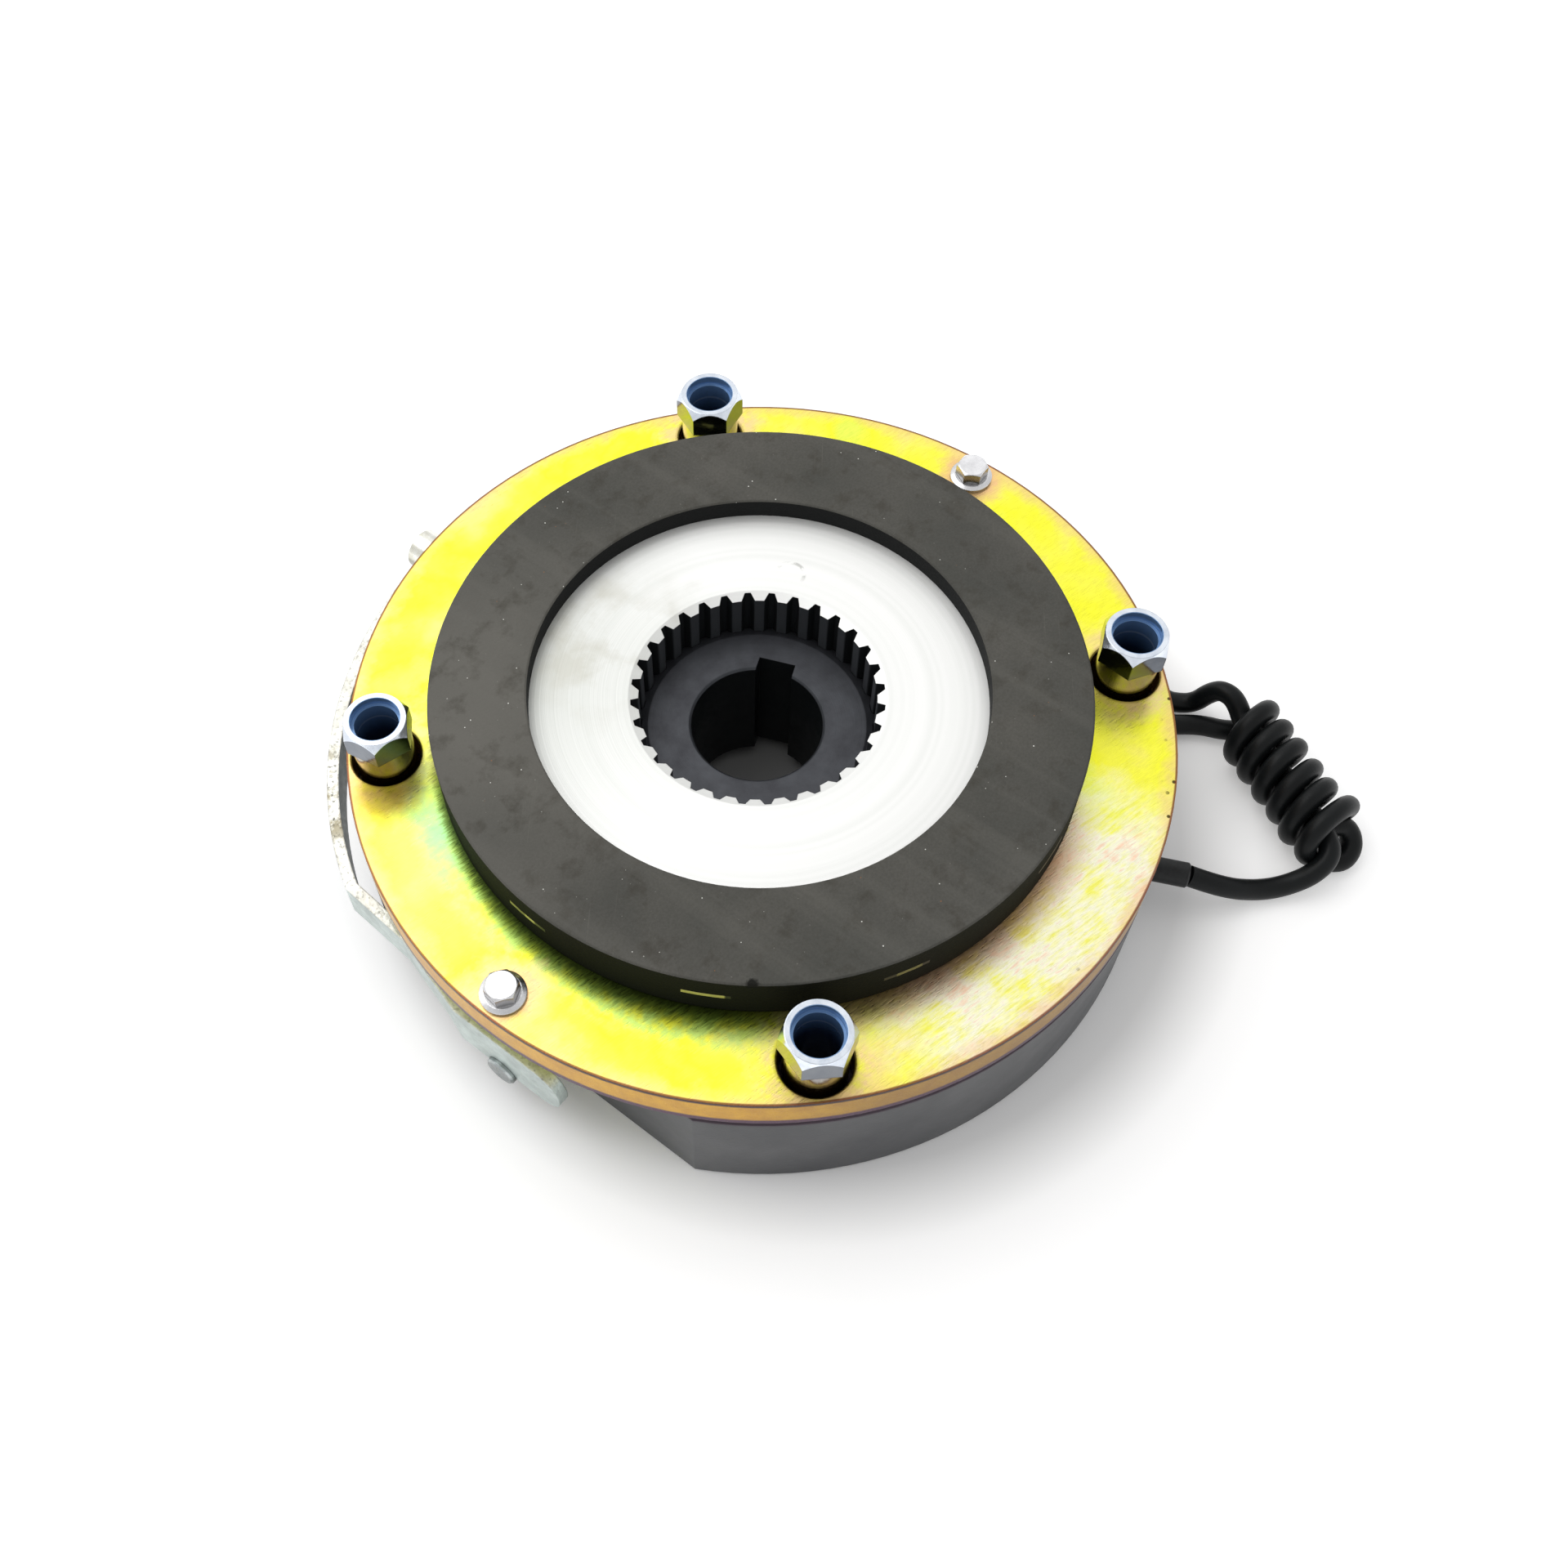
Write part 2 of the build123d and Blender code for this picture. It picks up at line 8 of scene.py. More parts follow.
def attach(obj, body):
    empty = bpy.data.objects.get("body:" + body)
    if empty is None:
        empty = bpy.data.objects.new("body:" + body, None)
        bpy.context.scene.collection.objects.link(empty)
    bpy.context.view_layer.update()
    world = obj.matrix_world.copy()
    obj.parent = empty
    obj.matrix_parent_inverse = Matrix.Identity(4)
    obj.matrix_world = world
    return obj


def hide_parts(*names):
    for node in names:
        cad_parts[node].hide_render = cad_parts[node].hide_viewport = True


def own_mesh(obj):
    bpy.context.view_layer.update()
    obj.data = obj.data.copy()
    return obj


MM = 0.001
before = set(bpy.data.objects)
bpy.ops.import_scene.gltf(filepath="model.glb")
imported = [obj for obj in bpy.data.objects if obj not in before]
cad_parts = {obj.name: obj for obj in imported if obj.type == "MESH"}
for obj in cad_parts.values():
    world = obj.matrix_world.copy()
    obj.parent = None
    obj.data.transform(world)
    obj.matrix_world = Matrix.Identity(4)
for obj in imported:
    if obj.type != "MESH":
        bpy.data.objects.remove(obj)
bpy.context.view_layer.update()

# Camera, at the photograph's viewing angle
IMAGE_PX = 1919
FOCAL_PX = 2103.1
SENSOR_MM = 36.0
CENTRE_PX = (796.5, 953.3)
CAMERA_PLACE = Vector((-0.2020, -0.1459, 0.4295))
CAMERA_TARGET = Vector((-0.01045, 0.03011, 0.0))
CAMERA_ROLL = math.radians(-4.43)


def make_camera():
    data = bpy.data.cameras.new("camera")
    data.sensor_width = SENSOR_MM
    data.lens = FOCAL_PX / IMAGE_PX * data.sensor_width
    data.shift_x = (IMAGE_PX / 2 - CENTRE_PX[0]) / IMAGE_PX
    data.shift_y = (CENTRE_PX[1] - IMAGE_PX / 2) / IMAGE_PX
    data.clip_start = 0.01
    camera = bpy.data.objects.new("camera", data)
    bpy.context.scene.collection.objects.link(camera)
    turn = (CAMERA_TARGET - CAMERA_PLACE).to_track_quat("-Z", "Y")
    roll = Matrix.Rotation(CAMERA_ROLL, 4, "Z")
    camera.matrix_world = Matrix.Translation(CAMERA_PLACE) @ turn.to_matrix().to_4x4() @ roll
    bpy.context.scene.camera = camera


# Nodes of a material


def tone(red, green, blue):
    """Linear colour of the tone, out of 255, that a surface shows in plain light."""
    return tuple(
        c / 255 / 12.92 if c <= 10 else ((c / 255 + 0.055) / 1.055) ** 2.4
        for c in (red, green, blue)
    )


SPECK_CORE = 0.7


class Shader:
    """Builds a material's nodes in short calls. Lengths are in metres."""

    def __init__(self, name):
        self.material = bpy.data.materials.new(name)
        self.material.use_nodes = True
        self.nodes = self.material.node_tree.nodes
        self.links = self.material.node_tree.links
        self.surface = self.nodes["Principled BSDF"]
        self.coordinates = self.nodes.new("ShaderNodeTexCoord")
        self.parts = {}

    def node(self, kind, **settings):
        made = self.nodes.new(kind)
        for key, value in settings.items():
            setattr(made, key, value)
        return made

    def put(self, socket, value):
        if isinstance(value, bpy.types.NodeSocket):
            self.links.new(value, socket)
        elif isinstance(value, tuple) and socket.type == "RGBA":
            socket.default_value = (*value[:3], 1)
        else:
            socket.default_value = value

    def place(self):
        return self.coordinates.outputs["Object"]

    def split(self, source):
        """X, Y and Z of the place or the normal."""
        if source not in self.parts:
            made = self.node("ShaderNodeSeparateXYZ")
            self.put(made.inputs["Vector"], self.coordinates.outputs[source])
            self.parts[source] = tuple(made.outputs)
        return self.parts[source]

    def axes(self):
        return self.split("Object")

    def upward(self):
        """Height of the surface's normal, 1 where it faces straight up."""
        return self.split("Normal")[2]

    def noise(self, size, detail=4.0, rough=0.6, vector=None):
        """Noise whose blobs are about size across."""
        made = self.node("ShaderNodeTexNoise")
        self.put(made.inputs["Vector"], vector or self.place())
        made.inputs["Scale"].default_value = 1 / size
        made.inputs["Detail"].default_value = detail
        made.inputs["Roughness"].default_value = rough
        return made.outputs["Fac"]

    def strokes(self, length, width, turn, detail=2.0):
        """Noise drawn out along a direction turned from X."""
        mapping = self.node("ShaderNodeMapping", vector_type="TEXTURE")
        self.put(mapping.inputs["Vector"], self.place())
        mapping.inputs["Rotation"].default_value = (0, 0, math.radians(turn))
        mapping.inputs["Scale"].default_value = (length, width, width)
        return self.noise(1.0, detail=detail, rough=0.55, vector=mapping.outputs["Vector"])

    def rings(self, width, detail=3.0):
        """Noise that changes only with the distance from the Z axis."""
        made = self.node("ShaderNodeCombineXYZ")
        self.put(made.inputs["X"], self.radius())
        return self.noise(width, detail=detail, rough=0.7, vector=made.outputs["Vector"])

    def specks(self, spacing, radius):
        """1 inside round spots of the given radius, one to each cell of the spacing."""
        made = self.node("ShaderNodeTexVoronoi")
        self.put(made.inputs["Vector"], self.place())
        made.inputs["Scale"].default_value = 1 / spacing
        reach = radius / spacing
        return self.ramp(made.outputs["Distance"], reach, reach * SPECK_CORE)

    def ramp(self, value, low, high, to=(0.0, 1.0)):
        """Value between low and high mapped to the two ends of to, and held beyond them."""
        made = self.node("ShaderNodeMapRange", clamp=True)
        self.put(made.inputs["Value"], value)
        made.inputs["From Min"].default_value = low
        made.inputs["From Max"].default_value = high
        made.inputs["To Min"].default_value = to[0]
        made.inputs["To Max"].default_value = to[1]
        return made.outputs["Result"]

    def math(self, operation, a, b=0.0):
        made = self.node("ShaderNodeMath", operation=operation)
        self.put(made.inputs[0], a)
        self.put(made.inputs[1], b)
        return made.outputs["Value"]

    def both(self, *masks):
        """1 where all the masks are 1: their product."""
        product = masks[0]
        for mask in masks[1:]:
            product = self.math("MULTIPLY", product, mask)
        return product

    def weigh(self, a, b, share):
        """Two values added, with b's share in the sum."""
        rest = self.math("MULTIPLY", a, 1 - share)
        return self.math("ADD", rest, self.math("MULTIPLY", b, share))

    def mix(self, factor, a, b, blend="MIX"):
        """Colour a where the factor is 0, and b where it is 1."""
        made = self.node("ShaderNodeMix", data_type="RGBA", blend_type=blend)
        self.put(made.inputs["Factor"], factor)
        self.put(made.inputs["A"], a)
        self.put(made.inputs["B"], b)
        return made.outputs["Result"]

    def tint(self, under, mask, strength, over):
        """The colour under, covered by up to the strength with the colour over."""
        return self.mix(self.math("MULTIPLY", mask, strength), under, over)

    def colours(self, value, stops):
        """Colour ramp with the given positions and colours."""
        made = self.node("ShaderNodeValToRGB")
        self.put(made.inputs["Fac"], value)
        elements = made.color_ramp.elements
        while len(elements) < len(stops):
            elements.new(0.5)
        for element, (position, colour) in zip(elements, stops):
            element.position = position
            element.color = (*colour, 1)
        return made.outputs["Color"]

    def radius(self, centre=(0.0, 0.0), mirrored=False):
        """Distance from an upright axis, or from that axis and its mirror images."""
        x, y, _ = self.axes()
        if mirrored:
            x, y = self.math("ABSOLUTE", x), self.math("ABSOLUTE", y)
        dx = self.math("SUBTRACT", x, centre[0])
        dy = self.math("SUBTRACT", y, centre[1])
        squares = self.math("ADD", self.math("MULTIPLY", dx, dx), self.math("MULTIPLY", dy, dy))
        return self.math("SQRT", squares)

    def around(self, centre, reach, soft, waver=0.0, size=0.01):
        """1 near an upright axis, falling to 0 over soft past reach, with an uneven edge."""
        distance = self.radius(centre)
        if waver:
            shift = self.ramp(self.noise(size), 0.0, 1.0, (-waver, waver))
            distance = self.math("ADD", distance, shift)
        return self.ramp(distance, reach + soft, reach)

    def azimuth(self):
        """Angle round the Z axis in degrees, from -180 to 180."""
        x, y, _ = self.axes()
        return self.math("MULTIPLY", self.math("ARCTAN2", y, x), 180 / math.pi)

    def between(self, value, low, high, soft):
        """1 from low to high, falling to 0 over soft on each side."""
        rise = self.ramp(value, low - soft, low)
        return self.both(rise, self.ramp(value, high + soft, high))

    def edge(self, radius):
        """Normal that rounds the edges."""
        made = self.node("ShaderNodeBevel", samples=4)
        made.inputs["Radius"].default_value = radius
        return made.outputs["Normal"]

    def corner_shade(self, distance):
        """1 deep in a corner, 0 on an open face; it places painted shade in corners."""
        made = self.node("ShaderNodeAmbientOcclusion", samples=6)
        made.inputs["Distance"].default_value = distance
        return self.ramp(made.outputs["AO"], 0.75, 0.35)

    def bump(self, height, distance, normal=None):
        made = self.node("ShaderNodeBump")
        self.put(made.inputs["Height"], height)
        made.inputs["Distance"].default_value = distance
        if normal is not None:
            self.put(made.inputs["Normal"], normal)
        return made.outputs["Normal"]

    def finish(self, **inputs):
        """Sets the surface's inputs, named with _ for a space, and gives the material."""
        for name, value in inputs.items():
            self.put(self.surface.inputs[name.replace("_", " ")], value)
        return self.material


# Finishes of the pieces, from the back of the brake to its front


def plain(name, colour, metallic, roughness):
    s = Shader(name)
    mottle = s.noise(0.01, detail=5)
    shade = s.mix(s.ramp(mottle, 0.3, 0.7), colour, tuple(0.8 * c for c in colour))
    return s.finish(
        Base_Color=shade, Metallic=metallic, Roughness=roughness, Normal=s.bump(mottle, 0.00005)
    )


STATOR_LIP_SHADE = (0.0358, 0.0366)


def stator_paint():
    s = Shader("stator_paint")
    clouds = s.noise(0.03, detail=5)
    grain = s.noise(0.0009, detail=3)
    colour = s.mix(s.ramp(clouds, 0.3, 0.7), tone(86, 87, 89), tone(74, 75, 78))
    colour = s.mix(s.specks(0.009, 0.0005), colour, tone(78, 80, 82))
    # Painted shade: a dark purple band at the stator's top edge, under the plate's rim
    lip = s.ramp(s.axes()[2], *STATOR_LIP_SHADE)
    colour = s.mix(lip, colour, tone(58, 44, 56))
    rough = s.ramp(clouds, 0.3, 0.7, (0.38, 0.5))
    return s.finish(
        Base_Color=colour,
        Metallic=0.35,
        Roughness=rough,
        Normal=s.bump(grain, 0.00004, normal=s.edge(0.0006)),
    )


# On the plate, by X and Y, with the heights of the lines along its rim
LINING_R = 0.085
PLATE_R = 0.1085
RIM_TOP_LINE = (0.0484, 0.0490)
RIM_FOOT_LINE = (0.0410, 0.0401)
SLEEVE_AXIS = (0.0693, 0.0693)
SCREW_AXIS = (0.1015, 0.0)
CREAM_HIGHLIGHT_PLACE = (-0.010, -0.098)
GREEN_PLACE = (-0.082, 0.038)
SEA_PLACE = (-0.080, 0.044)
UMBER_SHADE_PLACE = (-0.0790, 0.0625)
BRUSHED_TURN = -15


def yellow_zinc():
    s = Shader("yellow_zinc")
    x, y, z = s.axes()
    r = s.radius()
    angle = s.azimuth()
    strokes = s.strokes(0.0022, 0.0003, BRUSHED_TURN)
    bold = s.strokes(0.007, 0.0010, BRUSHED_TURN, detail=4.0)
    clouds = s.noise(0.024, detail=4, rough=0.5)
    fine = s.noise(0.005, detail=4)
    lemon = s.colours(
        clouds,
        [
            (0.34, tone(240, 252, 96)),
            (0.46, tone(255, 254, 60)),
            (0.58, tone(255, 252, 84)),
            (0.70, tone(255, 240, 130)),
        ],
    )
    # Broad zones of the passivation; the cream zone is partly its colour and partly a painted
    # highlight
    cream_and_highlight = s.around(CREAM_HIGHLIGHT_PLACE, 0.034, 0.022, waver=0.014, size=0.010)
    patchy = s.weigh(s.noise(0.009, detail=5), bold, 0.4)
    varied = s.colours(
        patchy,
        [
            (0.38, tone(255, 252, 120)),
            (0.47, tone(255, 252, 200)),
            (0.54, tone(255, 252, 236)),
            (0.62, tone(255, 216, 198)),
        ],
    )
    colour = s.tint(lemon, cream_and_highlight, 0.9, varied)
    green = s.around(GREEN_PLACE, 0.006, 0.032, waver=0.012, size=0.01)
    colour = s.tint(colour, green, 0.6, tone(206, 240, 128))
    # Feathered fringe at the foot of the lining: teal tints, and a painted shadow and reflection of
    # the lining, olive and dark green on the left and mauve on the right
    off_lining = s.math("SUBTRACT", r, LINING_R)
    feather = s.math("ADD", off_lining, s.ramp(bold, 0.25, 0.75, (-0.0006, 0.0006)))
    feather = s.math("ADD", feather, s.ramp(strokes, 0.25, 0.75, (-0.0008, 0.0008)))
    behind = s.math("ARCTAN2", s.math("MULTIPLY", y, -1.0), s.math("MULTIPLY", x, -1.0))
    turn = s.math("MULTIPLY", behind, 180 / math.pi)
    left = s.both(s.ramp(turn, -80, -30), s.ramp(turn, 62, 30))
    right = s.between(turn, 52, 96, 16)
    teal = s.both(left, s.between(feather, 0.003, 0.008, 0.004), s.ramp(fine, 0.38, 0.58))
    colour = s.tint(colour, teal, 0.6, tone(165, 225, 145))
    sea = s.around(SEA_PLACE, 0.004, 0.012, waver=0.004, size=0.004)
    sea = s.both(sea, s.ramp(feather, 0.012, 0.005))
    colour = s.tint(colour, sea, 0.55, tone(150, 226, 176))
    # Painted shade with a mauve tint, beside the lining on the right
    mauve_tint_and_shade = s.both(right, s.ramp(feather, 0.009, 0.001))
    colour = s.tint(colour, mauve_tint_and_shade, 0.85, tone(196, 152, 112))
    reach = s.ramp(s.between(turn, 6, 50, 36), 0.0, 1.0, (0.0026, 0.0066))
    depth = s.math("DIVIDE", feather, reach)
    # Painted shade with an olive tint, beside the lining on the left
    olive_tint_and_shade = s.both(left, s.ramp(depth, 1.15, 0.4))
    colour = s.tint(colour, olive_tint_and_shade, 0.8, tone(126, 158, 52))
    # Painted shadow and reflection of the lining, dark green, at its foot on the left
    dark = s.both(left, s.ramp(depth, 0.85, 0.1))
    colour = s.tint(colour, dark, 0.85, tone(38, 56, 26))
    # Pink and orange round the holes, the screws and the rim, with painted shade round the sleeves
    uneven = s.ramp(s.noise(0.008, detail=4), 0.3, 0.7, (-0.003, 0.003))
    hole = s.math("ADD", s.radius(SLEEVE_AXIS, mirrored=True), uneven)
    outer = s.ramp(r, 0.088, 0.098, (0.4, 1.0))
    pink = s.both(s.ramp(hole, 0.0185, 0.0120, (0.0, 0.55)), outer, s.ramp(fine, 0.35, 0.55))
    colour = s.mix(pink, colour, tone(252, 200, 186))
    # Painted shade, brown-gold, in front of one sleeve
    umber_shade = s.around(UMBER_SHADE_PLACE, 0.0050, 0.0070, waver=0.003, size=0.003)
    colour = s.tint(colour, umber_shade, 0.7, tone(190, 156, 40))
    # Painted shade in a ring round each sleeve, at the hole's edge
    brink_shade = s.ramp(s.radius(SLEEVE_AXIS, mirrored=True), 0.0104, 0.0096)
    colour = s.tint(colour, brink_shade, 0.6, tone(150, 130, 50))
    screw = s.math("ADD", s.radius(SCREW_AXIS, mirrored=True), uneven)
    colour = s.mix(s.ramp(screw, 0.0115, 0.0065, (0.0, 0.8)), colour, tone(244, 190, 150))
    rim = s.math("ADD", r, s.math("MULTIPLY", uneven, 0.8))
    colour = s.mix(s.ramp(rim, PLATE_R - 0.0045, PLATE_R, (0.0, 0.6)), colour, tone(246, 205, 150))
    # Brushing, and small dents by the right of the rim
    shade = s.both(s.ramp(strokes, 0.3, 0.7, (0.87, 1.05)), s.ramp(bold, 0.25, 0.5, (0.92, 1.0)))
    colour = s.mix(1.0, colour, s.mix(shade, (0.0, 0.0, 0.0), (1.0, 1.0, 1.0)), "MULTIPLY")
    dents = s.both(s.specks(0.0035, 0.0006), s.ramp(r, PLATE_R - 0.004, PLATE_R - 0.001))
    dents = s.both(dents, s.between(angle, -95, -45, 8))
    colour = s.mix(dents, colour, tone(90, 80, 40))
    # Rim side, with darker lines along both of its edges
    side = s.ramp(s.upward(), 0.75, 0.6)
    ochre = s.mix(s.ramp(fine, 0.35, 0.7), tone(220, 168, 44), tone(198, 144, 46))
    # Painted shade: the rim side darker on the right
    ochre = s.tint(ochre, right, 0.55, tone(140, 108, 60))
    ochre = s.mix(s.ramp(z, *RIM_TOP_LINE), ochre, tone(60, 30, 24))
    ochre = s.mix(s.ramp(z, *RIM_FOOT_LINE), ochre, tone(84, 48, 74))
    colour = s.mix(side, colour, ochre)
    line = s.both(s.ramp(r, PLATE_R - 0.0007, PLATE_R - 0.0004), s.ramp(s.upward(), 0.5, 0.9))
    colour = s.tint(colour, line, 0.85, tone(120, 52, 44))
    under = s.ramp(s.upward(), -0.5, -0.9)
    colour = s.mix(under, colour, lemon)
    rough = s.ramp(strokes, 0.25, 0.75, (0.24, 0.40))
    height = s.weigh(strokes, bold, 0.3)
    return s.finish(
        Base_Color=colour,
        Metallic=0.92,
        Roughness=rough,
        Normal=s.bump(height, 0.00006, normal=s.edge(0.0004)),
    )


LINING_BORE = (0.064, 0.062)
CHIP_PLACE = (-0.0684, -0.0500)
CHIP_HEIGHT = (0.0640, 0.0646)
SHEEN_PLACE = (-0.055, 0.060)


def friction_lining():
    s = Shader("friction_lining")
    clouds = s.noise(0.035, detail=6, rough=0.6)
    grain = s.noise(0.0007, detail=4)
    colour = s.mix(s.ramp(clouds, 0.3, 0.7), tone(98, 96, 91), tone(80, 80, 76))
    colour = s.mix(s.ramp(grain, 0.35, 0.75, (0.0, 0.35)), colour, tone(64, 64, 58))
    sheen = s.around(SHEEN_PLACE, 0.012, 0.060)
    colour = s.tint(colour, sheen, 0.7, tone(116, 114, 108))
    stains = s.noise(0.007, detail=5, rough=0.65)
    colour = s.mix(s.ramp(stains, 0.52, 0.68, (0.0, 0.45)), colour, tone(62, 58, 50))
    bands = s.noise(0.018, detail=5, vector=s.axes()[0])
    colour = s.mix(s.ramp(bands, 0.5, 0.7, (0.0, 0.3)), colour, tone(118, 116, 110))
    faint = s.strokes(0.03, 0.0006, 35)
    colour = s.mix(s.ramp(faint, 0.68, 0.8, (0.0, 0.25)), colour, tone(120, 118, 110))
    # Pale specks, dust and rust
    light = s.both(s.specks(0.0036, 0.00020), s.ramp(s.noise(0.010), 0.46, 0.52))
    colour = s.mix(light, colour, tone(235, 235, 228))
    dust = s.both(s.specks(0.0021, 0.00016), s.ramp(s.noise(0.006), 0.5, 0.6))
    colour = s.tint(colour, dust, 0.5, tone(150, 148, 140))
    rust = s.both(s.specks(0.0042, 0.00022), s.ramp(s.noise(0.009), 0.56, 0.6))
    colour = s.tint(colour, rust, 0.6, tone(160, 110, 70))
    # Walls painted darker as painted shade, near black on the inner wall, and a chip at the edge
    wall_shade = s.ramp(s.upward(), 0.5, 0.2)
    inner_wall_shade = s.both(wall_shade, s.ramp(s.radius(), *LINING_BORE))
    colour = s.tint(colour, wall_shade, 0.98, tone(16, 18, 12))
    colour = s.mix(inner_wall_shade, colour, tone(26, 27, 27))
    chip = s.around(CHIP_PLACE, 0.0010, 0.0007, waver=0.0006, size=0.001)
    chip = s.both(chip, s.ramp(s.axes()[2], *CHIP_HEIGHT))
    colour = s.mix(chip, colour, tone(30, 30, 26))
    height = s.math("SUBTRACT", grain, s.math("MULTIPLY", chip, 3.0))
    return s.finish(
        Base_Color=colour,
        Roughness=0.75,
        Specular_IOR_Level=0.12,
        Normal=s.bump(height, 0.00012, normal=s.edge(0.0005)),
    )


# Ends of the lugs that show most, from and to an azimuth, and how strongly
SHOWN_LUGS = ((175.6, 177.6, 1.0), (-155.5, -148.4, 1.0), (-120.2, -116.0, 0.3))
SPLINE_R = 0.0335
LAND_R = 0.03115
WALL_SOFT = 0.0002
CARRIER_RIM = (0.0842, 0.0846)
CARRIER_SHADE_PLACE = (-0.036, 0.058)
SMEAR_PLACE = (-0.012, 0.045)
CURL_PLACE = (0.0365, 0.0165)


def cast_aluminium():
    s = Shader("cast_aluminium")
    r = s.radius()
    rings = s.rings(0.0004)
    broad = s.rings(0.004, detail=2.0)
    clouds = s.noise(0.016, detail=5)
    colour = s.mix(s.ramp(broad, 0.35, 0.7), tone(252, 252, 250), tone(242, 243, 240))
    # Painted shade: the face greyer round one place on its left, where the turning rings show
    outside_shade = s.ramp(s.radius(CARRIER_SHADE_PLACE), 0.012, 0.066)
    turned_shade = s.mix(s.ramp(rings, 0.35, 0.65), tone(222, 224, 219), tone(204, 207, 201))
    colour = s.mix(outside_shade, s.mix(0.9, colour, turned_shade), colour)
    # A smear and a curl mark on the face
    smear = s.both(s.around(SMEAR_PLACE, 0.008, 0.022, waver=0.012), s.ramp(clouds, 0.42, 0.6))
    colour = s.tint(colour, smear, 0.6, tone(196, 194, 180))
    curl = s.between(s.radius(CURL_PLACE), 0.0036, 0.0041, 0.0004)
    curl = s.both(curl, s.ramp(s.axes()[0], 0.0360, 0.0385), s.ramp(s.noise(0.003), 0.4, 0.5))
    colour = s.tint(colour, curl, 0.5, tone(150, 150, 142))
    # Toothing painted dark as painted shade and reflection in the toothed bore, with greyer lands
    wall_shade = s.ramp(s.upward(), 0.5, 0.3)
    tooth_gap_shade = s.both(wall_shade, s.ramp(r, SPLINE_R + WALL_SOFT, SPLINE_R))
    tooth_land_shade = s.both(wall_shade, s.ramp(r, LAND_R + WALL_SOFT, LAND_R))
    colour = s.mix(tooth_gap_shade, colour, tone(26, 29, 31))
    colour = s.mix(tooth_land_shade, colour, tone(70, 73, 77))
    # Ends of the lugs in the lining's rim, partly smeared over with lining
    rim_end = s.ramp(r, *CARRIER_RIM)
    angle = s.azimuth()
    shown = s.ramp(s.noise(0.012, detail=2), 0.45, 0.47)
    shown = s.both(shown, s.ramp(s.axes()[1], 0.0, 0.02))
    for low, high, strength in SHOWN_LUGS:
        lit = s.math("MULTIPLY", s.between(angle, low, high, 0.3), strength)
        shown = s.math("MAXIMUM", shown, lit)
    lug = s.mix(shown, tone(48, 50, 42), tone(214, 208, 130))
    colour = s.mix(rim_end, colour, lug)
    dull = s.math("MAXIMUM", tooth_gap_shade, rim_end)
    return s.finish(
        Base_Color=colour,
        Metallic=s.ramp(dull, 0.0, 1.0, (0.55, 0.3)),
        Roughness=s.ramp(rings, 0.3, 0.7, (0.42, 0.55)),
        Normal=s.bump(rings, 0.00003, normal=s.edge(0.0003)),
    )


BORE_EDGE = (0.0186, 0.0178)
BORE_WALL_SHADE = (0.0222, 0.0220)


def blackened_steel():
    s = Shader("blackened_steel")
    r = s.radius()
    clouds = s.noise(0.008, detail=5)
    rings = s.rings(0.0006)
    colour = s.mix(s.ramp(clouds, 0.35, 0.65), tone(72, 74, 79), tone(60, 61, 66))
    edge = s.ramp(r, *BORE_EDGE)
    colour = s.tint(colour, edge, 0.5, tone(50, 54, 58))
    # Painted shade: the bore's walls near black
    bore = s.both(s.ramp(r, *BORE_WALL_SHADE), s.ramp(s.upward(), 0.5, 0.3))
    colour = s.mix(bore, colour, tone(24, 28, 30))
    return s.finish(
        Base_Color=colour,
        Metallic=0.5,
        Roughness=s.ramp(clouds, 0.3, 0.7, (0.4, 0.55)),
        Normal=s.bump(rings, 0.00005, normal=s.edge(0.0004)),
    )


# Heights and distances from the sleeve's own axis
HEX_FOOT = (0.0594, 0.0590)
SHANK_R = (0.0078, 0.0079)
SLEEVE_BORE = (0.0067, 0.0065)
BORE_DEPTH = (0.0670, 0.0540)
BORE_STEP = (0.0600, 0.0604)


def sleeve_zinc():
    s = Shader("sleeve_zinc")
    z = s.axes()[2]
    from_axis = s.radius(SLEEVE_AXIS, mirrored=True)
    mottle = s.noise(0.004, detail=5)
    colour = s.mix(s.ramp(mottle, 0.35, 0.7), tone(226, 232, 240), tone(198, 206, 218))
    # Painted shade: the side faces darker
    flank_shade = s.ramp(s.upward(), 0.3, 0.1)
    colour = s.tint(colour, flank_shade, 0.8, tone(74, 80, 90))
    shank = s.both(s.ramp(z, *HEX_FOOT), s.ramp(from_axis, *SHANK_R))
    plating = s.mix(s.ramp(s.noise(0.006), 0.4, 0.6), tone(208, 204, 150), tone(196, 186, 178))
    colour = s.tint(colour, shank, 0.6, plating)
    # Painted shade in the corners
    colour = s.tint(colour, s.corner_shade(0.003), 0.6, tone(60, 62, 58))
    bore = s.ramp(from_axis, *SLEEVE_BORE)
    # Painted shade: the blue bore darker deeper down, with a painted highlight on its inner step
    deep_shade = s.ramp(z, *BORE_DEPTH)
    blue = s.mix(deep_shade, tone(120, 158, 204), tone(44, 62, 90))
    lip = s.between(z, *BORE_STEP, 0.0003)
    blue = s.tint(blue, lip, 0.6, tone(150, 166, 190))
    colour = s.mix(bore, colour, blue)
    return s.finish(
        Base_Color=colour,
        Metallic=s.ramp(bore, 0.0, 1.0, (1.0, 0.4)),
        Roughness=s.ramp(s.noise(0.0015), 0.3, 0.7, (0.08, 0.18)),
        Normal=s.bump(mottle, 0.00003, normal=s.edge(0.0004)),
    )


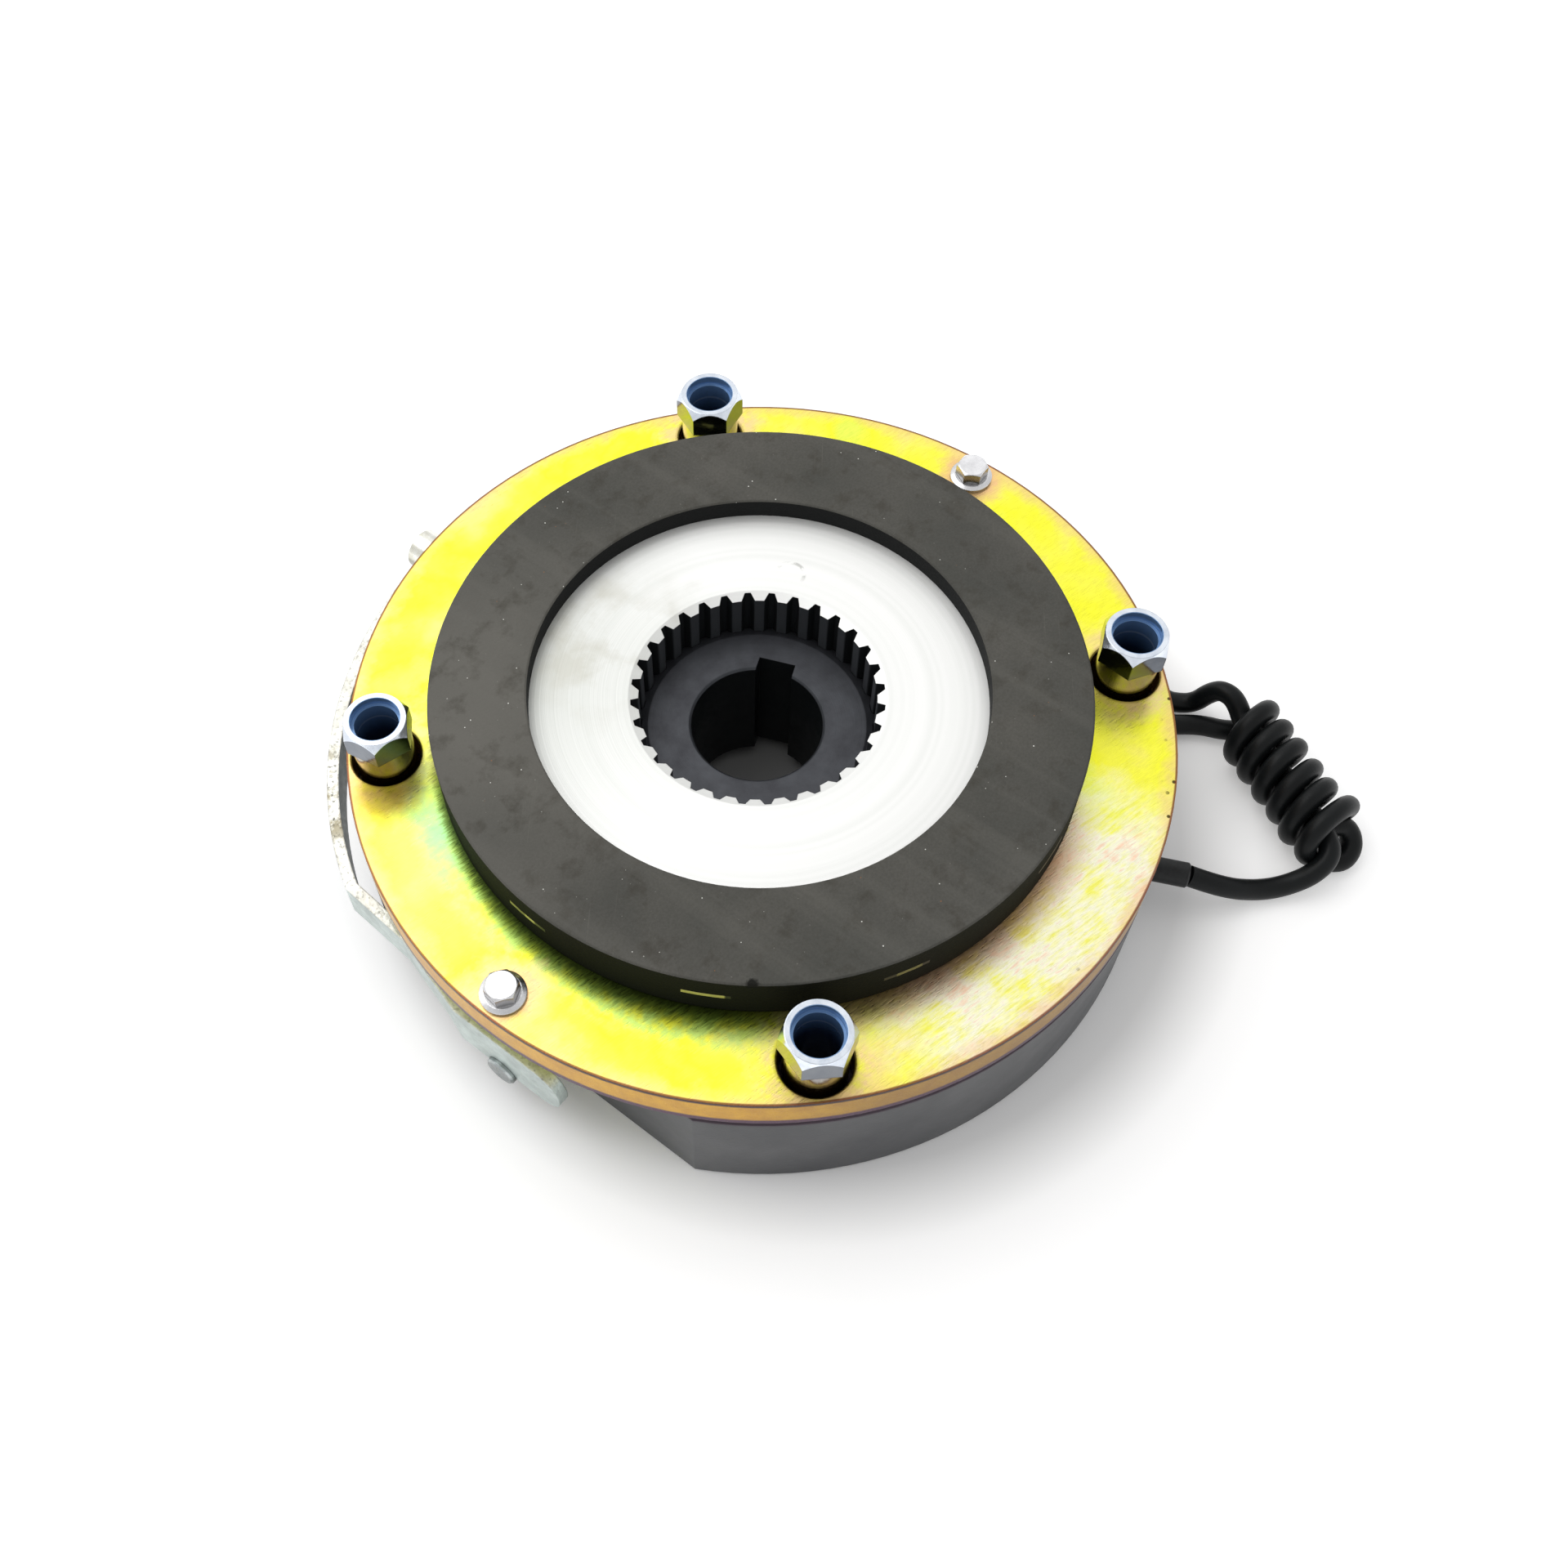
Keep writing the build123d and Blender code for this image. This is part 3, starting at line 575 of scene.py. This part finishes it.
def bright_zinc(name, light, dark):
    s = Shader(name)
    mottle = s.noise(0.004, detail=6, rough=0.65)
    colour = s.mix(s.ramp(mottle, 0.35, 0.68), light, dark)
    # Painted shade: the side faces darker
    flank_shade = s.ramp(s.upward(), 0.3, 0.1)
    colour = s.tint(colour, flank_shade, 0.7, tuple(0.4 * c for c in dark))
    # Painted shade in the corners
    colour = s.tint(colour, s.corner_shade(0.002), 0.7, tone(70, 68, 62))
    return s.finish(
        Base_Color=colour,
        Metallic=1.0,
        Roughness=s.ramp(s.noise(0.002), 0.3, 0.7, (0.16, 0.32)),
        Normal=s.bump(mottle, 0.00006, normal=s.edge(0.0004)),
    )


STAIN_PLACE = (-0.090, 0.090)


def bail_zinc():
    s = Shader("bail_zinc")
    patches = s.noise(0.007, detail=6, rough=0.7)
    fine = s.noise(0.0012, detail=4)
    colour = s.mix(s.ramp(patches, 0.35, 0.65), tone(214, 226, 222), tone(178, 190, 186))
    x, y, _ = s.axes()
    facing_x, facing_y, _ = s.split("Normal")
    outward = s.math("ADD", s.math("MULTIPLY", x, facing_x), s.math("MULTIPLY", y, facing_y))
    # Painted shade on the faces turned toward the brake
    inward_shade = s.ramp(outward, -0.02, -0.06)
    colour = s.tint(colour, inward_shade, 0.8, tone(58, 72, 70))
    top = s.ramp(s.upward(), 0.6, 0.8)
    stained = s.around(STAIN_PLACE, 0.010, 0.022, waver=0.006, size=0.008)
    stained = s.math("MAXIMUM", stained, 0.25)
    bright = s.both(stained, s.ramp(patches, 0.46, 0.58))
    bright = s.mix(bright, tone(240, 241, 234), tone(146, 136, 104))
    pits = s.both(s.ramp(stained, 0.2, 1.0, (0.4, 1.0)), s.ramp(fine, 0.55, 0.66))
    bright = s.mix(pits, bright, tone(104, 102, 90))
    colour = s.mix(top, colour, bright)
    height = s.math("ADD", fine, s.math("MULTIPLY", patches, 2.0))
    return s.finish(
        Base_Color=colour,
        Metallic=0.6,
        Roughness=s.ramp(fine, 0.3, 0.7, (0.28, 0.45)),
        Normal=s.bump(height, 0.00010, normal=s.edge(0.0006)),
    )


def cable_jacket():
    s = Shader("cable_jacket")
    grain = s.noise(0.0006, detail=3)
    clouds = s.noise(0.012, detail=4)
    colour = s.mix(s.ramp(clouds, 0.35, 0.65), tone(22, 25, 26), tone(15, 17, 18))
    return s.finish(
        Base_Color=colour,
        Specular_IOR_Level=0.18,
        Roughness=s.ramp(clouds, 0.3, 0.7, (0.34, 0.46)),
        Normal=s.bump(grain, 0.00003),
    )


def shrink_tube():
    s = Shader("shrink_tube")
    wrinkles = s.noise(0.0016, detail=4)
    colour = s.mix(s.ramp(wrinkles, 0.4, 0.7), tone(34, 36, 37), tone(24, 25, 26))
    return s.finish(
        Base_Color=colour,
        Roughness=0.42,
        Specular_IOR_Level=0.3,
        Normal=s.bump(wrinkles, 0.0001),
    )


MATERIALS = {
    "stator_housing": stator_paint(),
    "coil_bobbin": plain("bobbin_plastic", tone(36, 36, 38), 0.0, 0.5),
    "coil_winding": plain("winding_copper", tone(190, 110, 70), 1.0, 0.3),
    "potting_ring": plain("cast_resin", tone(30, 32, 34), 0.0, 0.4),
    "armature_plate": yellow_zinc(),
    "friction_lining": friction_lining(),
    "rotor_carrier": cast_aluminium(),
    "hub": blackened_steel(),
    "mounting_sleeves": sleeve_zinc(),
    "release_screws": bright_zinc("screw_zinc", tone(236, 236, 238), tone(208, 208, 210)),
    "release_pins": bright_zinc("pin_zinc", tone(190, 196, 196), tone(150, 158, 158)),
    "release_bail": bail_zinc(),
    "lever_boss": bright_zinc("boss_zinc", tone(240, 240, 234), tone(214, 212, 196)),
    "cable_sleeve": shrink_tube(),
}
SPRING_STEEL = plain("spring_steel", tone(180, 182, 186), 1.0, 0.3)
CABLE_JACKET = cable_jacket()


def dress_frame():
    """Gives each node its finish, and each spring a mesh of its own."""
    for name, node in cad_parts.items():
        material = MATERIALS.get(name, SPRING_STEEL)
        node.data.materials.clear()
        node.data.materials.append(material)
        if name.startswith("compression_spring"):
            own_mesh(node)


# Cable, one curve from the stator to its tucked-in end, with the route's points in millimetres

CABLE_D = 5.9
TABLE_Z = 3.0
ROUTE_OUT = [
    (49.5, -109.7, 11.0),
    (53.6, -118.3, 7.8),
    (60.8, -125.7, 3.8),
    (66.8, -131.0, 3.2),
    (73.0, -136.0, 6.8),
    (79.5, -137.2, 10.4),
]
ROUTE_CORE = [
    (84.6, -131.3, 10.8),
    (92.2, -117.4, 10.5),
    (99.6, -103.5, 10.5),
]
ROUTE_LOOP = [
    (103.2, -96.6, 10.5),
    (105.3, -93.6, 12.4),
    (106.2, -90.6, 14.0),
    (106.6, -86.8, 13.2),
    (106.2, -84.0, 9.0),
    (105.2, -82.2, 4.8),
    (103.4, -79.2, TABLE_Z),
    (100.8, -73.5, TABLE_Z),
    (106.5, -64.0, TABLE_Z),
    (119.0, -50.0, TABLE_Z),
    (134.5, -27.0, TABLE_Z),
    (139.5, -3.0, TABLE_Z),
    (126.0, 14.0, TABLE_Z),
    (110.5, 6.5, TABLE_Z),
    (107.2, -16.0, TABLE_Z),
    (107.8, -40.0, TABLE_Z),
    (100.7, -62.7, TABLE_Z),
    (92.6, -77.5, TABLE_Z),
    (99.8, -86.3, TABLE_Z),
    (102.4, -93.6, TABLE_Z),
]
COIL_TOP = Vector((101.4, -100.1, 10.5))
COIL_ALONG = Vector((-0.469, -0.883, 0.0)).normalized()
COIL_ACROSS = Vector((0.883, -0.469, 0.0)).normalized()
COIL_PITCH = 7.1
COIL_TURNS = 6
COIL_MEAN_R = 7.55
COIL_LEAN = 1.1
LOOSE_TURN = 5.25
LOOSE_WIDTH = 0.6
LOOSE_EXTRA = 2.7
UNEVEN_ALONG = 0.2
UNEVEN_R = 0.15
TURN_POINTS = 12
ROUTE_END = [
    (81.0, -136.6, TABLE_Z),
    (84.0, -140.4, TABLE_Z),
    (88.8, -140.2, 4.4),
    (91.4, -136.8, 7.2),
    (89.4, -133.4, 9.0),
    (86.6, -131.6, 8.8),
]


def coil_turns():
    """Turns of the coil: up at its right, over the top to the left, and on along its axis."""
    points = []
    for step in range(1, COIL_TURNS * TURN_POINTS):
        turns = step / TURN_POINTS
        angle = 2 * math.pi * turns - math.pi / 2
        side = math.cos(angle)
        loose = LOOSE_EXTRA * max(0.0, 1 - abs(turns - LOOSE_TURN) / LOOSE_WIDTH)
        uneven = UNEVEN_ALONG * math.sin(2.3 * turns)
        along = COIL_PITCH * (turns - 0.5) - COIL_LEAN * side + uneven
        across = side * (COIL_MEAN_R + loose)
        height = math.sin(angle) * (COIL_MEAN_R + UNEVEN_R * math.sin(3.1 * turns))
        points.append(COIL_TOP + COIL_ALONG * along + COIL_ACROSS * across + Vector((0, 0, height)))
    return points


def make_cable():
    points = [*ROUTE_OUT, *ROUTE_CORE, *ROUTE_LOOP, *coil_turns(), *ROUTE_END]
    curve = bpy.data.curves.new("cable_line", "CURVE")
    curve.dimensions = "3D"
    spline = curve.splines.new("NURBS")
    spline.points.add(len(points) - 1)
    for control, point in zip(spline.points, points):
        control.co = (*(Vector(point) * MM), 1)
    spline.order_u = 3
    spline.use_endpoint_u = True
    spline.resolution_u = 8
    curve.bevel_depth = CABLE_D / 2 * MM
    curve.bevel_resolution = 8
    curve.use_fill_caps = True
    cable = bpy.data.objects.new("cable_line", curve)
    bpy.context.scene.collection.objects.link(cable)
    curve.materials.append(CABLE_JACKET)
    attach(cable, "stator")
    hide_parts("cable", "cable_coil", "cable_loop")


# Floor and light

FLOOR_HALF = 3.0
FLOOR_PALE = (0.92, 0.92, 0.92)
FLOOR_UNDER_SHADE = (0.32, 0.32, 0.32)
UNDER_SHADE_REACH = (0.05, 0.09)
FLOOR_LIFT = 0.34
SHADE_LIFT = FLOOR_LIFT / 6
SHADE_CENTRE = (0.008, -0.012)
SHADE_REACH = (0.106, 0.126)
FADE_REACH = (0.35, 1.2)
KEY_PLACE = Vector((-0.10, 0.75, 1.10))
KEY_SIZE = 1.1
KEY_WATTS = 6.0
TOP_PLACE = Vector((0.60, 0.40, 1.00))
TOP_SIZE = 1.2
TOP_WATTS = 1.6
LIT_LEVELS = (0.22, 0.80)
MIRRORED_LEVELS = (1.0, 0.66)


def make_floor():
    """Pale floor with painted shade under the brake, lifted to white away from it for what sees it.
    """
    mesh = bpy.data.meshes.new("floor")
    half = FLOOR_HALF
    corners = [(-half, -half, 0), (half, -half, 0), (half, half, 0), (-half, half, 0)]
    mesh.from_pydata(corners, [], [(0, 1, 2, 3)])
    floor = bpy.data.objects.new("floor", mesh)
    bpy.context.scene.collection.objects.link(floor)
    s = Shader("floor_white")
    path = s.node("ShaderNodeLightPath").outputs
    seen = s.math("MAXIMUM", path["Is Camera Ray"], path["Is Glossy Ray"])
    unshaded_floor = s.ramp(s.radius(), *UNDER_SHADE_REACH)
    near = s.ramp(s.radius(SHADE_CENTRE), *SHADE_REACH, (SHADE_LIFT, FLOOR_LIFT))
    lift = s.both(seen, unshaded_floor, s.math("ADD", near, s.ramp(s.radius(), *FADE_REACH)))
    base = s.mix(unshaded_floor, FLOOR_UNDER_SHADE, FLOOR_PALE)
    mesh.materials.append(
        s.finish(
            Base_Color=base,
            Roughness=0.9,
            Specular_IOR_Level=0.0,
            Emission_Color=(1.0, 1.0, 1.0),
            Emission_Strength=lift,
        )
    )


def make_light():
    """White world with its own levels for lit and mirrored surfaces, and two lamps."""
    scene = bpy.context.scene
    world = bpy.data.worlds.new("studio")
    scene.world = world
    world.use_nodes = True
    nodes, links = world.node_tree.nodes, world.node_tree.links
    path = nodes.new("ShaderNodeLightPath").outputs
    direction = nodes.new("ShaderNodeSeparateXYZ")
    links.new(nodes.new("ShaderNodeTexCoord").outputs["Generated"], direction.inputs["Vector"])
    levels = []
    for horizon, zenith in (LIT_LEVELS, MIRRORED_LEVELS):
        height = nodes.new("ShaderNodeMapRange")
        links.new(direction.outputs["Z"], height.inputs["Value"])
        height.inputs["To Min"].default_value = horizon
        height.inputs["To Max"].default_value = zenith
        levels.append(height.outputs["Result"])
    by_ray = nodes.new("ShaderNodeMapRange")
    links.new(path["Is Glossy Ray"], by_ray.inputs["Value"])
    links.new(levels[0], by_ray.inputs["To Min"])
    links.new(levels[1], by_ray.inputs["To Max"])
    level = nodes.new("ShaderNodeMath")
    level.operation = "MAXIMUM"
    links.new(by_ray.outputs["Result"], level.inputs[0])
    links.new(path["Is Camera Ray"], level.inputs[1])
    background = nodes["Background"]
    background.inputs["Color"].default_value = (1, 1, 1, 1)
    links.new(level.outputs["Value"], background.inputs["Strength"])
    for name, place, size, watts in (
        ("key", KEY_PLACE, KEY_SIZE, KEY_WATTS),
        ("top", TOP_PLACE, TOP_SIZE, TOP_WATTS),
    ):
        data = bpy.data.lights.new(name, "AREA")
        data.energy = watts
        data.size = size
        lamp = bpy.data.objects.new(name, data)
        lamp.location = place
        lamp.rotation_mode = "QUATERNION"
        lamp.rotation_quaternion = (-place).to_track_quat("-Z", "Y")
        scene.collection.objects.link(lamp)
    scene.view_settings.view_transform = "Standard"


make_camera()
make_cable()
dress_frame()
make_floor()
make_light()
